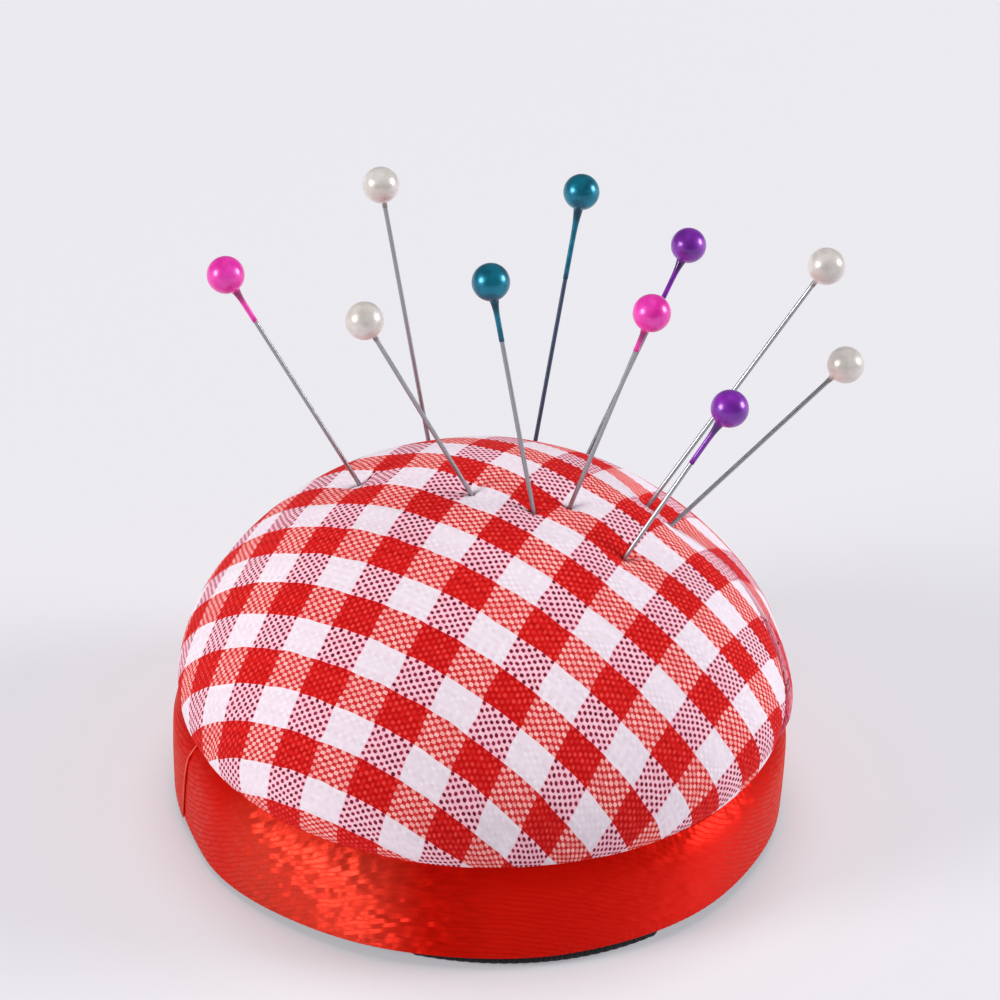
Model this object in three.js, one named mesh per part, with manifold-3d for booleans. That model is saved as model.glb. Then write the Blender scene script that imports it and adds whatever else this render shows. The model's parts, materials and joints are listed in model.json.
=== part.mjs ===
// Wrist pincushion: a gingham dome on a ribbon-edged base, worn on an elastic strap, with ball-head pins.
// Millimetres, +Z up. The origin is on the cushion's axis, on the surface that it stands on.
// The strap runs along Y. The front is -Y.

import * as THREE from 'three';
import { mergeVertices } from 'three/addons/utils/BufferGeometryUtils.js';
import Module from 'manifold-3d';

const wasm = await Module();
wasm.setup();

// Clearances
const SEAT_GAP = 0.3; // between pieces that lie on each other
const GLUE_FILM = 0.07; // between a pin's wire and the bore of its head
const HOLE_CLEARANCE = 0.4; // between a pin's wire and the cloth and fibres that it parts

// Cushion
const CUSHION_RADIUS = 31.2; // at the widest part of the cloth
const CUSHION_HEIGHT = 37.7; // crown above the table
const WIDEST_HEIGHT = 15; // widest part above the table
const CROWN_EXPONENT = 1.7; // of the superellipse from the widest part to the crown: 2 would be an ellipse
const DRAW_IN = 0.6; // how far the cloth is drawn in behind the ribbon
const CORNER_RADIUS = 7; // where the cloth turns under the base
const CLOTH_THICKNESS = 0.6;
const HEM_OPENING_RADIUS = 12; // left open by the gathered hem
const THREAD_THICKNESS = 0.5;
const CARD_THICKNESS = 1.5;

// Fullness of the cloth, taken up in one soft pleat at the right
const PLEAT_BULGE = 0.9;
const PLEAT_DIRECTION = -8; // degrees
const PLEAT_HALF_ANGLE = 18; // degrees
const PLEAT_HEIGHT = 19; // above the table
const PLEAT_HALF_HEIGHT = 5;

// Base and ribbon
const PLATE_THICKNESS = 1.6;
const RIBBON_WIDTH = 10.6;
const RIBBON_THICKNESS = 0.5;
const RIBBON_LAP_LENGTH = 9;
const RIBBON_LAP_END = -176; // degrees, the cut end that shows

// Elastic strap
const STRAP_WIDTH = 25;
const STRAP_THICKNESS = 1.2;
const STRAP_TAB_LENGTH = 4.5; // end glued up inside the ribbon

// Pins
const PIN_LENGTH = 38; // point to the top of the ball
const PIN_WIRE = 0.7;
const PIN_POINT_LENGTH = 5;
const BALL_DIAMETER = 3.8;
const COLLAR_TOP_DIAMETER = 1.3;
const COLLAR_END_DIAMETER = 1.05;
const CHANNEL_FLOOR = 1.4; // fibres left between the deepest point and the card

// Colours
const COTTON_RED = 0xd62a28;
const FIBRE_WHITE = 0xf0ece4;
const CARD_BROWN = 0x8a6f4d;
const THREAD_RED = 0xb01f24;
const SATIN_RED = 0xc31d24;
const STEEL = 0xb9bcc2;
const PINK = 0xeb37af;
const TEAL = 0x02617c;
const PURPLE = 0x821ca8;
const PEARL = 0xe6deda;
const BLACK = 0x18171a;

// Each pin: where it enters the cloth (radius, degrees), its lean from upright and the direction that it
// leans in (degrees), how far the middle of its ball stands out, and the length of its lacquer collar.
const PINS = [
  { name: 'pink_pin_left', colour: PINK, entry: [14.5, 147], lean: 30, towards: 170, out: 27, collar: 4 },
  { name: 'pearl_pin_back', colour: PEARL, entry: [20.5, 96], lean: 12, towards: 147, out: 30, collar: 0.6 },
  { name: 'pearl_pin_crown', colour: PEARL, entry: [3, -148], lean: 29, towards: 178, out: 22.5, collar: 0.6 },
  { name: 'teal_pin_crown', colour: TEAL, entry: [6, -56], lean: 15, towards: 132, out: 24, collar: 4.3 },
  { name: 'teal_pin_back', colour: TEAL, entry: [20, 64], lean: 16, towards: 48, out: 28, collar: 7.5 },
  { name: 'purple_pin_back', colour: PURPLE, entry: [22, 50], lean: 38, towards: 37, out: 25.5, collar: 5 },
  { name: 'pink_pin_right', colour: PINK, entry: [8.5, -25], lean: 18, towards: -6, out: 22.5, collar: 2.5 },
  { name: 'pearl_pin_far', colour: PEARL, entry: [17.5, 6], lean: 33, towards: 1, out: 31, collar: 0.6 },
  { name: 'pearl_pin_right', colour: PEARL, entry: [19.5, -1], lean: 46, towards: 3, out: 24, collar: 0.6 },
  { name: 'purple_pin_right', colour: PURPLE, entry: [15.5, -38], lean: 31, towards: 0, out: 18.5, collar: 5 },
];

// Facets
const CUSHION_SIDES = 36;
const RING_SIDES = 72;
const CROWN_STEPS = 9;
const SIDE_STEPS = 2;
const CORNER_STEPS = 3;
const THREAD_SIDES = 6;
const WIRE_SIDES = 8;
const BALL_SIDES = 12;
const BALL_STEPS = 6;

// Heights and radii that follow from the sizes above
const PLATE_BOTTOM = STRAP_THICKNESS + SEAT_GAP;
const PLATE_TOP = PLATE_BOTTOM + PLATE_THICKNESS;
const COVER_BOTTOM = PLATE_TOP + SEAT_GAP;
const CARD_BOTTOM = COVER_BOTTOM + CLOTH_THICKNESS + SEAT_GAP;
const CARD_TOP = CARD_BOTTOM + CARD_THICKNESS;
const STUFFING_BOTTOM = CARD_TOP + SEAT_GAP;
const WAIST_RADIUS = CUSHION_RADIUS - DRAW_IN;
const WAIST_HEIGHT = COVER_BOTTOM + CORNER_RADIUS;
const UNDERSIDE_RADIUS = WAIST_RADIUS - CORNER_RADIUS;
const RIBBON_BOTTOM = STRAP_THICKNESS;
const RIBBON_INNER_RADIUS = CUSHION_RADIUS + SEAT_GAP;
const RIBBON_OUTER_RADIUS = RIBBON_INNER_RADIUS + RIBBON_THICKNESS;
const PLATE_RADIUS = RIBBON_INNER_RADIUS - SEAT_GAP;
const TAB_OUTER_RADIUS = RIBBON_INNER_RADIUS - SEAT_GAP;
const TAB_INNER_RADIUS = TAB_OUTER_RADIUS - STRAP_THICKNESS;
const TAB_BOTTOM = PLATE_BOTTOM + SEAT_GAP;
const TAB_TOP = TAB_BOTTOM + STRAP_TAB_LENGTH;
const STRAP_RUN_RADIUS = TAB_INNER_RADIUS - SEAT_GAP;
const BALL_RADIUS = BALL_DIAMETER / 2;
const WIRE_RADIUS = PIN_WIRE / 2;
const SHAFT_LENGTH = PIN_LENGTH - BALL_RADIUS;

const FULL_TURN = 360; // degrees
const radians = THREE.MathUtils.degToRad;

// Solid turned about Z from an outline of [radius, height] points that starts and ends on the axis or closes.
function turned(outline, sides) {
  const points = outline.map(([radius, height]) => new THREE.Vector2(radius, height));
  return new THREE.LatheGeometry(points, sides).rotateX(Math.PI / 2);
}

function turnedRing(innerRadius, outerRadius, bottom, top) {
  const section = [[innerRadius, bottom], [outerRadius, bottom], [outerRadius, top], [innerRadius, top]];
  return turned([...section, section[0]], RING_SIDES);
}

function disc(radius, bottom, top, sides) {
  return turned([[0, bottom], [radius, bottom], [radius, top], [0, top]], sides);
}

// Points of an arc about a centre, in degrees, both ends included.
function arcPoints([x, y], radius, from, to, steps) {
  return Array.from({ length: steps + 1 }, (_, step) => {
    const angle = radians(from + ((to - from) * step) / steps);
    return [x + radius * Math.cos(angle), y + radius * Math.sin(angle)];
  });
}

// Closed solid for cutting and joining, from a geometry whose seams are merged.
function toSolid(geometry) {
  const bare = geometry.clone();
  bare.deleteAttribute('normal');
  bare.deleteAttribute('uv');
  const merged = mergeVertices(bare);
  const triangles = [];
  for (let i = 0; i < merged.index.count; i += 3) {
    const [a, b, c] = [0, 1, 2].map((corner) => merged.index.getX(i + corner));
    if (a !== b && b !== c && c !== a) triangles.push(a, b, c);
  }
  return new wasm.Manifold(new wasm.Mesh({
    numProp: 3,
    vertProperties: new Float32Array(merged.attributes.position.array),
    triVerts: new Uint32Array(triangles),
  }));
}

function toGeometry(solid) {
  const mesh = solid.getMesh();
  const geometry = new THREE.BufferGeometry();
  geometry.setAttribute('position', new THREE.BufferAttribute(mesh.vertProperties, 3));
  geometry.setIndex(new THREE.BufferAttribute(mesh.triVerts, 1));
  geometry.computeVertexNormals();
  return geometry;
}

function piece(name, geometry, colour, roughness, metalness = 0) {
  const material = new THREE.MeshStandardMaterial({ color: colour, roughness, metalness });
  const mesh = new THREE.Mesh(geometry, material);
  mesh.name = name;
  return mesh;
}

// Height of the cloth at a radius, on the crown.
function crownHeight(radius) {
  const share = 1 - (radius / CUSHION_RADIUS) ** CROWN_EXPONENT;
  return WIDEST_HEIGHT + (CUSHION_HEIGHT - WIDEST_HEIGHT) * share ** (1 / CROWN_EXPONENT);
}

// Outline of the cushion at a depth under the cloth's outer face, from the underside's edge up to the crown.
function cushionOutline(depth) {
  const corner = arcPoints([UNDERSIDE_RADIUS, WAIST_HEIGHT], CORNER_RADIUS - depth, -90, 0, CORNER_STEPS);
  const side = Array.from({ length: SIDE_STEPS }, (_, step) => {
    const share = 1 - (step + 1) / SIDE_STEPS;
    const height = WIDEST_HEIGHT - (WIDEST_HEIGHT - WAIST_HEIGHT) * share;
    return [CUSHION_RADIUS - depth - DRAW_IN * share ** 2, height];
  });
  const rise = CUSHION_HEIGHT - WIDEST_HEIGHT - depth;
  const power = 2 / CROWN_EXPONENT;
  const crown = Array.from({ length: CROWN_STEPS }, (_, step) => {
    const angle = (Math.PI / 2) * ((step + 1) / CROWN_STEPS);
    const radius = step === CROWN_STEPS - 1 ? 0 : (CUSHION_RADIUS - depth) * Math.cos(angle) ** power;
    return [radius, WIDEST_HEIGHT + rise * Math.sin(angle) ** power];
  });
  return [...corner, ...side, ...crown];
}

// Moves a turned geometry out where the cloth's fullness is taken up.
function withPleat(geometry) {
  const position = geometry.attributes.position;
  for (let i = 0; i < position.count; i += 1) {
    const [x, y, z] = [position.getX(i), position.getY(i), position.getZ(i)];
    const radius = Math.hypot(x, y);
    if (radius < HEM_OPENING_RADIUS) continue;
    const turn = Math.atan2(y, x) - radians(PLEAT_DIRECTION);
    const around = Math.atan2(Math.sin(turn), Math.cos(turn)) / radians(PLEAT_HALF_ANGLE);
    const up = (z - PLEAT_HEIGHT) / PLEAT_HALF_HEIGHT;
    const factor = 1 + (PLEAT_BULGE / radius) * Math.exp(-around * around - up * up);
    position.setXYZ(i, x * factor, y * factor, z);
  }
  return geometry;
}

// Frame of a pin: its origin is where the pin enters the cloth, and its +Z points out along the wire.
function pinFrame(pin) {
  const [radius, direction] = [pin.entry[0], radians(pin.entry[1])];
  const frame = new THREE.Group();
  frame.position.set(radius * Math.cos(direction), radius * Math.sin(direction), crownHeight(radius));
  const [lean, towards] = [radians(pin.lean), radians(pin.towards)];
  const level = Math.sin(lean);
  const axis = new THREE.Vector3(level * Math.cos(towards), level * Math.sin(towards), Math.cos(lean));
  frame.quaternion.setFromUnitVectors(new THREE.Vector3(0, 0, 1), axis);
  frame.updateMatrix();
  return frame;
}

// The way that a pin parts through the cloth and the stuffing, down to the fibres left above the card.
function pinChannel(pin) {
  const frame = pinFrame(pin);
  const depth = (frame.position.z - STUFFING_BOTTOM - CHANNEL_FLOOR) / Math.cos(radians(pin.lean));
  const radius = WIRE_RADIUS + HOLE_CLEARANCE;
  const length = depth + BALL_DIAMETER;
  const bar = new THREE.CylinderGeometry(radius, radius, length, WIRE_SIDES).rotateX(Math.PI / 2);
  bar.translate(0, 0, BALL_DIAMETER - length / 2);
  return toSolid(bar.applyMatrix4(frame.matrix));
}

function withoutChannels(geometry) {
  return toGeometry(PINS.reduce((solid, pin) => solid.subtract(pinChannel(pin)), toSolid(geometry)));
}

// Gingham cover: a thin shell from the crown down behind the ribbon, turned under to the gathered hem
function cushionCover() {
  const inner = cushionOutline(CLOTH_THICKNESS).reverse();
  const hem = [[HEM_OPENING_RADIUS, COVER_BOTTOM + CLOTH_THICKNESS], [HEM_OPENING_RADIUS, COVER_BOTTOM]];
  const outline = [...inner, ...hem, ...cushionOutline(0)];
  const shell = withPleat(turned(outline, CUSHION_SIDES));
  return piece('cushion_cover', withoutChannels(shell), COTTON_RED, 0.9);
}

// Fibre stuffing: fills the cover above the card
function stuffing() {
  const depth = CLOTH_THICKNESS + SEAT_GAP;
  const above = cushionOutline(depth).filter(([, height]) => height > STUFFING_BOTTOM);
  const drop = WAIST_HEIGHT - STUFFING_BOTTOM;
  const edge = UNDERSIDE_RADIUS + Math.sqrt((CORNER_RADIUS - depth) ** 2 - drop ** 2);
  const outline = [[0, STUFFING_BOTTOM], [edge, STUFFING_BOTTOM], ...above];
  return piece('stuffing', withoutChannels(turned(outline, CUSHION_SIDES)), FIBRE_WHITE, 1);
}

// Card disc: the hem is gathered over it, and pin points stop at it
function cardDisc() {
  const round = disc(UNDERSIDE_RADIUS, CARD_BOTTOM, CARD_TOP, CUSHION_SIDES);
  return piece('card_disc', round, CARD_BROWN, 0.9);
}

// Gathering thread: draws the hem's edge in under the card
function gatherThread() {
  const radius = THREAD_THICKNESS / 2;
  const ringRadius = HEM_OPENING_RADIUS - SEAT_GAP - radius;
  const height = COVER_BOTTOM + CLOTH_THICKNESS / 2;
  const ring = new THREE.TorusGeometry(ringRadius, radius, THREAD_SIDES, CUSHION_SIDES);
  return piece('gather_thread', ring.translate(0, 0, height), THREAD_RED, 0.8);
}

// Block as wide as the strap, from the axis out past the rim at the front (-1) or the back (1), that holds
// everything up to a height with room to spare
function strapBlock(width, height, side) {
  const reach = RIBBON_OUTER_RADIUS;
  const block = new THREE.BoxGeometry(width, reach, 4 * height);
  return toSolid(block.translate(0, (side * reach) / 2, 0));
}

// Base plate: round, with a notch at the front and the back where the strap turns up
function basePlate() {
  const notchWidth = STRAP_WIDTH + 2 * SEAT_GAP;
  const rim = toSolid(turnedRing(STRAP_RUN_RADIUS, RIBBON_OUTER_RADIUS, 0, 2 * PLATE_TOP));
  let plate = toSolid(disc(PLATE_RADIUS, PLATE_BOTTOM, PLATE_TOP, RING_SIDES));
  for (const side of [-1, 1]) {
    plate = plate.subtract(rim.intersect(strapBlock(notchWidth, PLATE_TOP, side)));
  }
  return piece('base_plate', toGeometry(plate), BLACK, 0.6);
}

// Satin ribbon: once round the base, with its cut end lapped over its start
function satinRibbon() {
  const lapAngle = THREE.MathUtils.radToDeg(RIBBON_LAP_LENGTH / RIBBON_OUTER_RADIUS);
  const lapRadius = RIBBON_OUTER_RADIUS + RIBBON_THICKNESS;
  const lapSteps = Math.ceil((RING_SIDES * lapAngle) / FULL_TURN);
  const lapStart = RIBBON_LAP_END - lapAngle;
  const lap = arcPoints([0, 0], lapRadius, lapStart, RIBBON_LAP_END, lapSteps);
  const roundEnd = lapStart + FULL_TURN;
  const roundSteps = RING_SIDES - lapSteps;
  const round = arcPoints([0, 0], RIBBON_OUTER_RADIUS, RIBBON_LAP_END, roundEnd, roundSteps);
  const shape = new THREE.Shape([...lap, ...round].map(([x, y]) => new THREE.Vector2(x, y)));
  shape.holes.push(new THREE.Path().absarc(0, 0, RIBBON_INNER_RADIUS, 0, 2 * Math.PI));
  const settings = { depth: RIBBON_WIDTH, bevelEnabled: false, curveSegments: RING_SIDES };
  const geometry = new THREE.ExtrudeGeometry(shape, settings).translate(0, 0, RIBBON_BOTTOM);
  return piece('satin_ribbon', geometry, SATIN_RED, 0.35);
}

// Elastic strap: a flat run under the plate, two bends and two ends glued up between the plate and the ribbon
function strapRun() {
  const across = new THREE.BoxGeometry(STRAP_WIDTH, 2 * RIBBON_OUTER_RADIUS, 4 * STRAP_THICKNESS);
  const run = toSolid(disc(STRAP_RUN_RADIUS, 0, STRAP_THICKNESS, RING_SIDES)).intersect(toSolid(across));
  return piece('strap_run', toGeometry(run), BLACK, 0.85);
}

function strapBend(name, side) {
  const rounding = arcPoints([TAB_INNER_RADIUS, STRAP_THICKNESS], STRAP_THICKNESS, -90, 0, CORNER_STEPS);
  const section = [...rounding, [TAB_OUTER_RADIUS, PLATE_BOTTOM], [TAB_INNER_RADIUS, PLATE_BOTTOM]];
  const ring = toSolid(turned([...section, section[0]], RING_SIDES));
  const bend = ring.intersect(strapBlock(STRAP_WIDTH, PLATE_BOTTOM, side));
  return piece(name, toGeometry(bend), BLACK, 0.85);
}

function strapTab(name, side) {
  const ring = toSolid(turnedRing(TAB_INNER_RADIUS, TAB_OUTER_RADIUS, TAB_BOTTOM, TAB_TOP));
  const tab = ring.intersect(strapBlock(STRAP_WIDTH, TAB_TOP, side));
  return piece(name, toGeometry(tab), BLACK, 0.85);
}

// Pin: a pointed steel wire glued into a ball with a tapering lacquer collar
function pinShaft(pin) {
  const point = pin.out - SHAFT_LENGTH;
  const outline = [[0, point], [WIRE_RADIUS, point + PIN_POINT_LENGTH], [WIRE_RADIUS, pin.out], [0, pin.out]];
  return piece(`${pin.name}_shaft`, turned(outline, WIRE_SIDES), STEEL, 0.3, 1);
}

function pinHead(pin) {
  const boreRadius = WIRE_RADIUS + GLUE_FILM;
  const boreEnd = pin.out + SEAT_GAP;
  const collarTopRadius = COLLAR_TOP_DIAMETER / 2;
  const neck = THREE.MathUtils.radToDeg(Math.acos(collarTopRadius / BALL_RADIUS));
  const collarEnd = pin.out - BALL_RADIUS - pin.collar;
  const ball = arcPoints([0, pin.out], BALL_RADIUS, -neck, 90, BALL_STEPS);
  ball[BALL_STEPS][0] = 0;
  const outline = [
    [0, boreEnd],
    [boreRadius, boreEnd],
    [boreRadius, collarEnd],
    [COLLAR_END_DIAMETER / 2, collarEnd],
    ...ball,
  ];
  return piece(`${pin.name}_head`, turned(outline, BALL_SIDES), pin.colour, 0.25);
}

const pincushion = new THREE.Group();
pincushion.add(cushionCover(), stuffing(), cardDisc(), gatherThread(), basePlate(), satinRibbon());
pincushion.add(strapRun(), strapBend('strap_bend_front', -1), strapBend('strap_bend_back', 1));
pincushion.add(strapTab('strap_tab_front', -1), strapTab('strap_tab_back', 1));
for (const pin of PINS) {
  pincushion.add(pinFrame(pin).add(pinShaft(pin), pinHead(pin)));
}

export default pincushion;
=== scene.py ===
"""Wrist pincushion: a stuffed gingham dome edged with ribbon, on an elastic strap, with ten ball-head pins.

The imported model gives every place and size. Lengths are metres, through MM for millimetres, and named
angles are degrees.
"""

import json
from math import acos, cos, pi, radians, sin, sqrt

import bmesh
import bpy
import numpy as np
from mathutils import Matrix, Quaternion, Vector

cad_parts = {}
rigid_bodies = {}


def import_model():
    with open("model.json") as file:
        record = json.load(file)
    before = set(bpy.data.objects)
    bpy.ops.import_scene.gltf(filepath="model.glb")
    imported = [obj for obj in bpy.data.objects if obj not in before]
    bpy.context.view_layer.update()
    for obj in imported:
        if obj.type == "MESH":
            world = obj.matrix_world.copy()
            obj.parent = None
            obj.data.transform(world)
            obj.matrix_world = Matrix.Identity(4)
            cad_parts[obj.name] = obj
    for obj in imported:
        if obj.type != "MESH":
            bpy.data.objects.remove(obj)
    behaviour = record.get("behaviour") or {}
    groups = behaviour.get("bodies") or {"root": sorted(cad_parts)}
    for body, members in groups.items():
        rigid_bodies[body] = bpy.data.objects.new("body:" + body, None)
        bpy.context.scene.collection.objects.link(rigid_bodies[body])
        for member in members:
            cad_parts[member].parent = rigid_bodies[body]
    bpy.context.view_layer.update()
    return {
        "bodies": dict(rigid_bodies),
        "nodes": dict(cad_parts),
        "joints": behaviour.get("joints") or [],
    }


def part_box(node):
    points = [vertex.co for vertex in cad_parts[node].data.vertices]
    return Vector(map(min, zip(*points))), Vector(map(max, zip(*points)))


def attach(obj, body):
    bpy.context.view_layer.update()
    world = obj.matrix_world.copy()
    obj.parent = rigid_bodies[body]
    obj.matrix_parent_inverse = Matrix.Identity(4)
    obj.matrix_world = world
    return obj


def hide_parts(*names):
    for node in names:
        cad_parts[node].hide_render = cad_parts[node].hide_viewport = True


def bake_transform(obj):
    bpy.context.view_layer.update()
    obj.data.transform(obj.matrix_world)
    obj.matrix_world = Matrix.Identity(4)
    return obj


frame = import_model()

MM = 0.001

# Photograph's view
VIEW_AZIMUTH = -13.0
VIEW_ELEVATION = 30.03
VIEW_ROLL = 2.4
VIEW_DISTANCE = 380 * MM
VIEW_TARGET = Vector((1.062, -0.245, 35.16)) * MM
VIEW_LENS = 134.9  # mm, on a 36 mm sensor

# Cushion
CROWN_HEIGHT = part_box("cushion_cover")[1].z
COVER_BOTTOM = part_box("cushion_cover")[0].z
CUSHION_RADIUS = -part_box("cushion_cover")[0].x
WIDEST_HEIGHT = 15 * MM
CROWN_EXPONENT = 1.7
CROWN_ROUNDING = 4 * MM  # radius over which the crown is rounded off
DRAW_IN = 0.6 * MM  # behind the ribbon
OVERHANG = 0.45 * MM  # fullness of the cloth just above the ribbon
OVERHANG_START, OVERHANG_RISE = -0.6 * MM, 1.6 * MM  # from the ribbon's edge, and how fast
OVERHANG_END, OVERHANG_FALL = 1.5 * MM, 8 * MM
SLACK_AZIMUTH = 165.0  # the side where the cushion is stuffed less
SLACK_HALF_ANGLE = 45.0
SLACK_DEPTH = 0.5 * MM
SLACK_RISE = 5 * MM  # height above the ribbon in which it sets in
SLACK_TOP, SLACK_FADE = 25 * MM, 9 * MM  # height where it starts to die out, and how fast
CORNER_RADIUS = 7 * MM
HEM_RADIUS = 12 * MM
CLOTH_THICKNESS = 0.5 * MM
CORE_INSET = 2 * MM  # of the stuffing, inside the cloth's outline
CORE_GAP = 0.2 * MM  # under the stuffing
WAY_RADIUS = 0.75 * MM  # of the way that a pin has parted in the fibres
WAY_FLOOR = 1.4 * MM  # of fibres left under it
WAY_DEPTH = 30 * MM  # below a pin's point, from where its way is measured

# Cloth mesh and the swelling of the stuffed cloth
SWELL_CELLS = 50
REFINEMENTS = 2  # each one halves the cells
SWELL_SCALE = 20  # the simulated copy is this many times larger
SWELL_PRESSURE = 4
SWELL_SLACK = 0.03  # how much larger the cloth is cut than its outline
SWELL_FRAMES = 20
SWELL_ROOM = 0.7 * MM  # the cloth starts this far inside its outline
SWELL_CAP = 1.3 * MM
ROOM_HEIGHT = 15 * MM  # below this the cloth starts on its outline
ROOM_RISE = 8 * MM  # height in which it comes away from it
HELD_HEIGHT = 1 * MM  # above the ribbon, up to which the cloth is held
AROUND = [(-1, -1), (0, -1), (1, -1), (1, 0), (1, 1), (0, 1), (-1, 1), (-1, 0)]  # a point's neighbours
PIN_HOLE_RADIUS = 0.37 * MM
PIN_DIMPLE = 0.3 * MM
PIN_DIMPLE_RADIUS = 1.3 * MM

# Pleat at the right, which takes up the cloth's fullness
FOLD_AZIMUTH = -27.0  # at FOLD_HEIGHT
FOLD_SLANT = 1.3  # degrees for each millimetre of height
FOLD_HEIGHT = 13 * MM
FOLD_START = 0.9 * MM  # height above the ribbon in which the crease sets in
FOLD_REACH = 10 * MM  # the crease dies out this far above FOLD_HEIGHT
FOLD_BULGE = 0.7 * MM
FOLD_BULGE_REACH = 2.5 * MM
FOLD_BULGE_ANGLE = 11.0  # from the fold to the bulge's top
FOLD_GROOVE = 0.6 * MM
FOLD_LIP_ANGLE = 0.45  # from the lip's edge back to the smooth cloth
FOLD_GROOVE_ANGLE = 1.7  # from the lip's edge across the groove
FOLD_GATHER = 0.7  # share by which the mesh is drawn towards the lip
FOLD_GATHER_ANGLE = 4.0
FOLD_TUCK = 12.0  # degrees of cloth that the pleat hides
FOLD_TUCK_ANGLE = 5.0  # over which it is drawn together
FOLD_TUCK_FADE = 40.0  # over which the gingham is back in place
FRAY_COUNT = 26
FRAY_RADIUS = 0.1 * MM
FRAY_SEED = 4
FRAY_HEIGHTS, FRAY_LENGTHS = (1.5, 11), (0.6, 1.5)  # mm, above the ribbon and of an end
FRAY_SPREAD = 0.6, 4  # past the pleat's edge
FRAY_ROOT = 0.15 * MM  # depth of the ends in the cloth
FRAY_DEGREE = 0.55 * MM  # length of a degree round the cushion

# Gingham: directions of its rows and columns at the crown, and how they bow over the dome
ROW_DIRECTION = VIEW_AZIMUTH - 31.4
COLUMN_DIRECTION = VIEW_AZIMUTH - 114.7
CHECK_ALONG = 4.435  # mm along a row
CHECK_ACROSS = 3.689  # mm across the rows
COLUMN_BOW, ROW_BOW = 0.00182, 0.00417  # 1/mm
COLUMN_STRETCH, ROW_STRETCH = -0.00013, -0.00014  # 1/mm2
COLUMN_START, ROW_START = -0.61037, -1.94942  # of a red and white pair
THREADS_ALONG, THREADS_ACROSS = 9, 10  # in a check
PALE_DOT_HALF, DARK_DOT_HALF = (0.54, 0.6), (0.41, 0.52)  # half width and height, in threads
RED_DOT_SLIMMER, RED_DOT_LONGER = 0.07, 0.14  # threads, of a red dot in a red row

# Satin ribbon
RIBBON_BOTTOM, RIBBON_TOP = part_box("satin_ribbon")[0].z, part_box("satin_ribbon")[1].z
RIBBON_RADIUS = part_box("satin_ribbon")[1].x
RIBBON_THICKNESS = 0.16 * MM
RIBBON_LAP_END = 184.0  # the lower corner of the cut end that shows
RIBBON_END_SLANT = 5.0  # from there to the upper corner
RIBBON_LAP_ANGLE = 16.0
RIBBON_SLANT_START = 340.0  # along the ribbon, where its upper edge starts to lead
RIBBON_RISE_START = 1.0  # past the cut end
RIBBON_RISE_ANGLE = 12.0  # in which the ribbon's start comes out from under the lap
RIBBON_TURN_IN = 1.1 * MM  # of the upper edge, against the cloth
RIBBON_TURN_START = 0.72  # share of the width where that starts
RIBBON_DROP = 0.7 * MM  # of the lower edge, at the left
RIBBON_DROP_AZIMUTH = 200.0
RIBBON_DROP_ANGLE = 22.0
RIBBON_WAVE = 0.08 * MM  # in and out, round the base
RIBBON_SWING = 0.12 * MM  # up and down, of the upper edge
RIBBON_BELLY = 0.12 * MM  # of the middle of its width
RIBBON_LAP_GAP = 0.05 * MM
RIBBON_STEPS = 1080
RIBBON_LENGTH = radians(360 + RIBBON_LAP_ANGLE) * RIBBON_RADIUS / MM
SELVEDGE_PITCH = 0.8  # mm
SELVEDGE_DEPTH = 0.03 * MM
SELVEDGE_SHARE = 0.06  # of the ribbon's width
SATIN_ROW, SATIN_FLOAT = 0.6, 1.4  # mm, width and length of the floats
SATIN_LIE = 3.0  # mm along a row in which its lie changes
SATIN_APART = 7.3  # between rows, in the noise of their lies
SATIN_STAGGER = 0.4  # mm from one row's floats to the next row's
SATIN_WAVER = 0.6  # mm, of the rows
SATIN_STIR = 4.2  # change of a row's lie, times SATIN_LIFT
SATIN_LIFT = 0.23 * MM  # of a float's lower side
SATIN_LEAN = 1.9  # of the floats near the edges, times SATIN_LIFT
SATIN_MIDDLE = 6.5  # mm above the table
SATIN_SWAY = 9.0  # mm up and down, of the rows in each half of the way round
SATIN_LOW = 49.7  # mm from the ribbon's start to where a row turns at the front
SATIN_ROUGH_START, SATIN_ROUGH_END = 23.0, 50.0  # mm, where handling has roughed up the floats; the painted highlight tone starts here too
SATIN_ROUGH_BLEND = 4.0  # mm
SATIN_PAINTED_HIGHLIGHT_END = 42.0  # mm, up to where the floats are painted paler, a painted coral highlight
SATIN_CALM = 0.28  # share of that roughness in the rest

# Elastic strap
STRAP_WIDTH = 25 * MM
STRAP_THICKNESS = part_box("strap_run")[1].z
TAB_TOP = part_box("strap_tab_front")[1].z
TAB_RADIUS = -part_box("strap_tab_front")[0].y
STRAP_RIBS = 24
STRAP_RIB_DEPTH = 0.05 * MM
STRETCH_TOP = 3.0 * MM  # the strap is glued down above this height
STRAP_EDGE = 0.5 * MM  # width of its rounded edges
STRAP_BULGE_SHIFT = 5 * MM  # of the bulge's middle, to the right
STRAP_BULGE = 0.8 * MM  # of the strap's bends, under the ribbon's lower edge

# Pins
COLLAR_TOP_RADIUS = 0.52 * MM
COLLAR_END_RADIUS = 0.27 * MM
COLLAR_FLARE = 6  # power of its curve into the ball
WIRE_RADIUS = 0.23 * MM
POINT_LENGTH = 5 * MM
WIRE_CHAMFER = 0.2 * MM  # at the end in the ball
BALL_RADIUS = 1.9 * MM
BORE_GAP = 0.01 * MM  # round the wire, in the ball
BORE_END = 0.3 * MM  # above the ball's middle

# Studio
LAMP_TARGET = Vector((0, 0, 20)) * MM
SIDE_LAMP = 20, 2.8, 1.2, 54.0  # degrees up, metres away, metres across, watts
TOP_LAMP = 80, 3.0, 2.0, 45.0
SKY_STRENGTH = 0.22
FLOOR_HALF = 12.0  # metres
FLOOR_DROP = 0.05 * MM  # below the strap
FLOOR_LIFT = 0.35  # share of white that the floor shows

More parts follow.
